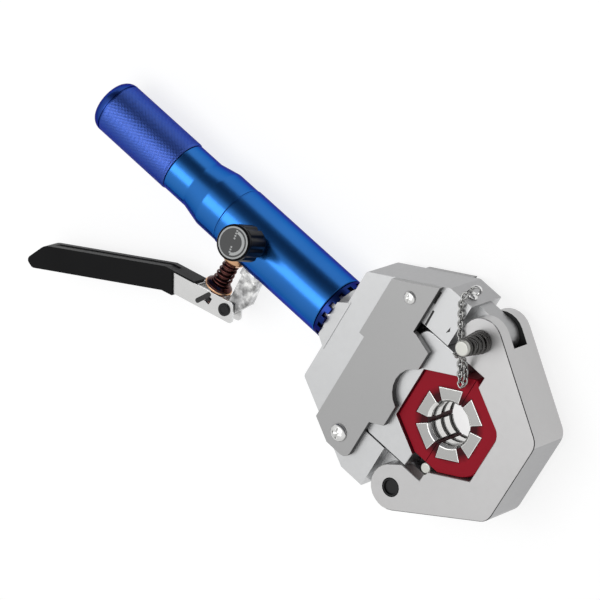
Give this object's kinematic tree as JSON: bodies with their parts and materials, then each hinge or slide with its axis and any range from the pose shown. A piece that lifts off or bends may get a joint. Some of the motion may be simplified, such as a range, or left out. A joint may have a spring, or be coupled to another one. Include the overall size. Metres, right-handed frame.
{
  "type": "hydraulic hose crimping tool",
  "caption": "Hand-pumped hydraulic hose crimper: tubular pump handle with lever and release knob, and a hinged hexagonal head that closes grooved die segments round a hose fitting.",
  "frame": {"origin": "centre of the flat end of the grip, on the tube's axis", "axes": "+X along the tube from the grip's end to the jaws, +Y towards the latch side of the head, with the pump lever at -Y, +Z out of the front of the head where the latch cap and the release knob are"},
  "size_m": [0.445, 0.2532, 0.0898],
  "materials": {
    "blue_anodised": "satin blue anodised",
    "blue_knurled": "blue anodised, fine diamond knurl",
    "dark_blue_anodised": "dark blue anodised",
    "satin_nickel": "satin nickel plated",
    "grey_plate": "satin grey coated",
    "red_paint": "satin red",
    "die_steel": "zinc plated",
    "black_steel": "black oxide",
    "bright_steel": "bright plated",
    "chrome_steel": "zinc plated pressed sheet",
    "brass": "plain brass",
    "spring_steel": "brown oiled spring wire",
    "dark_spring": "dark spring wire",
    "rubber": "matte",
    "grip_rubber": "satin dipped rubber",
    "black_plastic": "moulded",
    "dial_grey": "printed disc"
  },
  "bodies": {
    "frame": {"end_cap": "blue_anodised", "grip_sleeve": "blue_knurled", "neck_coupling": "blue_anodised", "oil_bladder": "rubber", "bladder_clip": "bright_steel", "cylinder_body": "blue_anodised", "lock_ring": "dark_blue_anodised", "suction_ball": "bright_steel", "delivery_ball": "bright_steel", "delivery_spring": "spring_steel", "head_frame": "satin_nickel", "front_cover": "grey_plate", "rear_cover": "grey_plate", "cover_screw_front_lower": "bright_steel", "cover_screw_front_upper": "bright_steel", "cover_screw_rear_lower": "bright_steel", "cover_screw_rear_upper": "bright_steel", "hinge_pin": "black_steel", "pump_gland": "brass", "lever_bracket": "bright_steel", "fulcrum_pin": "black_steel", "release_gland_nut": "black_steel", "chain_eye_screw": "bright_steel", "latch_chain": "bright_steel", "ram_return_spring": "spring_steel", "pump_spring": "spring_steel"},
    "ram": {"ram_rod": "bright_steel", "piston_seal": "rubber", "punch": "satin_nickel", "die_holder_rear": "red_paint", "die_segment_1": "die_steel", "die_segment_2": "die_steel", "die_segment_3": "die_steel"},
    "yoke": {"yoke": "satin_nickel", "die_holder_front": "red_paint", "die_segment_4": "die_steel", "die_segment_5": "die_steel", "die_segment_6": "die_steel", "die_lock_pin": "bright_steel", "latch_spring": "dark_spring"},
    "latch": {"latch_pin": "bright_steel", "latch_cap": "bright_steel"},
    "lever": {"lever_arm": "chrome_steel", "lever_grip": "grip_rubber"},
    "plunger": {"pump_plunger": "bright_steel", "spring_seat": "black_steel", "seat_washer": "brass", "thrust_pin": "black_steel"},
    "valve": {"release_knob": "black_plastic", "knob_dial": "dial_grey", "release_spindle": "bright_steel"}
  },
  "joints": [
    {"name": "ram_slide", "type": "slide", "parent": "frame", "child": "ram", "axis": [1, 0, 0], "range_m": [-0.018, 0], "deforming": ["ram_return_spring"]},
    {"name": "yoke_hinge", "type": "hinge", "parent": "frame", "child": "yoke", "pos_m": [0.367, -0.0715, 0], "axis": [0, 0, -1], "range_deg": [0, 95]},
    {"name": "latch_slide", "type": "slide", "parent": "yoke", "child": "latch", "axis": [0, 0, -1], "range_m": [0, 0.0215], "stiffness_N_per_m": 700, "deforming": ["latch_spring"]},
    {"name": "lever_hinge", "type": "hinge", "parent": "frame", "child": "lever", "pos_m": [0.1727, -0.0643, 0], "axis": [0, 0, -1], "range_deg": [0, 25], "stiffness_Nm_per_rad": 2},
    {"name": "plunger_slide", "type": "slide", "parent": "frame", "child": "plunger", "axis": [0, 1, 0], "range_m": [0, 0.0075], "deforming": ["pump_spring"]},
    {"name": "valve_turn", "type": "hinge", "parent": "frame", "child": "valve", "pos_m": [0.174, 0, 0], "axis": [0, 0.2419, 0.9703], "range_deg": [0, 180]}
  ],
  "couplings": [
    {"joint": "plunger_slide", "follows": "lever_hinge", "m_per_rad": 0.0167}
  ]
}
